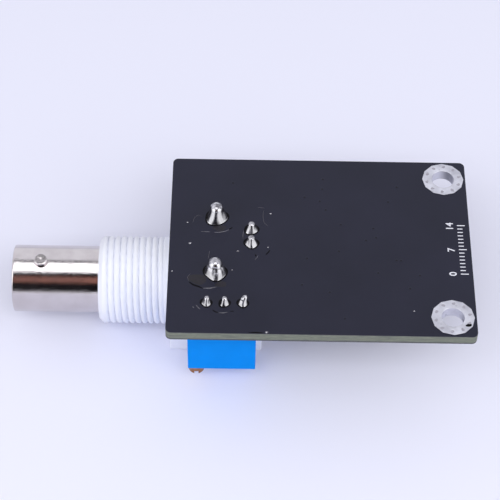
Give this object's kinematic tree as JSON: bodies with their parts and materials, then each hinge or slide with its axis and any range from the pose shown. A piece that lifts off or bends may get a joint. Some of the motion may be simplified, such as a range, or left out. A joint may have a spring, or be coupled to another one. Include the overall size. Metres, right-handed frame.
{
  "type": "probe interface board",
  "caption": "Small black circuit board, solder side up, with a threaded white coaxial bayonet jack at one end, a blue multi-turn trimmer below and tinned mounting rings.",
  "frame": {"origin": "midway between the two mounting holes, on the solder face of the board", "axes": "+X along the board from the jack towards the mounting holes, +Y away from the trimmer's edge, +Z out of the solder face"},
  "size_m": [0.0657, 0.032, 0.0185],
  "materials": {
    "board_laminate": "black solder mask over glass laminate, bare at the edges",
    "tinned_copper": "tinned copper pad",
    "white_plastic": "moulded white plastic",
    "nickel_plate": "bright nickel plate",
    "insulator_plastic": "waxy white plastic",
    "gold_plate": "gold plate",
    "tinned_wire": "tinned metal",
    "solder": "bright solder",
    "blue_plastic": "moulded blue plastic",
    "potting": "cream potting resin",
    "brass": "dull brass",
    "seal_rubber": "black rubber",
    "gear_plastic": "natural nylon",
    "spring_metal": "spring bronze",
    "ceramic": "white ceramic plate",
    "resistive_film": "printed resistive film",
    "ivory_plastic": "ivory moulded plastic",
    "chip_plastic": "black moulding compound",
    "tantalum_plastic": "ochre moulding compound",
    "ceramic_brown": "brown ceramic with tinned ends",
    "resistor_glaze": "black glaze with tinned ends",
    "lamp_resin": "clear resin on a white base"
  },
  "bodies": {
    "board": {"circuit_board": "board_laminate", "mounting_ring_far": "tinned_copper", "mounting_ring_near": "tinned_copper", "jack_housing": "white_plastic", "jack_rear_insert": "white_plastic", "jack_shell": "nickel_plate", "jack_insulator": "insulator_plastic", "jack_centre_contact": "gold_plate", "jack_ground_tail": "tinned_wire", "jack_post_far": "tinned_wire", "jack_post_near": "tinned_wire", "post_solder_far": "solder", "post_solder_near": "solder", "signal_solder": "solder", "ground_solder": "solder", "trimmer_solder_1": "solder", "trimmer_solder_2": "solder", "trimmer_solder_3": "solder", "trimmer_housing": "blue_plastic", "trimmer_base": "potting", "trimmer_seal": "seal_rubber", "trimmer_element": "ceramic", "trimmer_track": "resistive_film", "trimmer_pin_1": "tinned_wire", "trimmer_pin_2": "tinned_wire", "trimmer_pin_3": "tinned_wire", "socket_housing": "ivory_plastic", "socket_pin_1": "tinned_wire", "socket_pin_2": "tinned_wire", "socket_pin_3": "tinned_wire", "socket_anchor_far": "tinned_wire", "socket_anchor_near": "tinned_wire", "opamp_body": "chip_plastic", "opamp_leads": "tinned_wire", "inverter_body": "chip_plastic", "inverter_leads": "tinned_wire", "capacitor_1": "tantalum_plastic", "capacitor_2": "tantalum_plastic", "capacitor_3": "ceramic_brown", "capacitor_4": "ceramic_brown", "capacitor_5": "ceramic_brown", "power_lamp": "lamp_resin", "resistor_1": "resistor_glaze", "resistor_2": "resistor_glaze", "resistor_3": "resistor_glaze", "resistor_4": "resistor_glaze", "resistor_5": "resistor_glaze", "resistor_6": "resistor_glaze"},
    "lead_screw": {"trimmer_screw": "brass"},
    "wiper_rotor": {"trimmer_rotor": "gear_plastic", "trimmer_wiper": "spring_metal"}
  },
  "joints": [
    {"name": "screw_turn", "type": "hinge", "parent": "board", "child": "lead_screw", "pos_m": [-0.03562, -0.01195, -0.01377], "axis": [0, 0, 1], "range_deg": [-4500, 4500]},
    {"name": "rotor_turn", "type": "hinge", "parent": "board", "child": "wiper_rotor", "pos_m": [-0.03172, -0.01081, -0.00737], "axis": [0, 1, 0], "range_deg": [-140.62, 140.62]}
  ],
  "couplings": [
    {"joint": "rotor_turn", "follows": "screw_turn", "ratio": -0.03125}
  ]
}
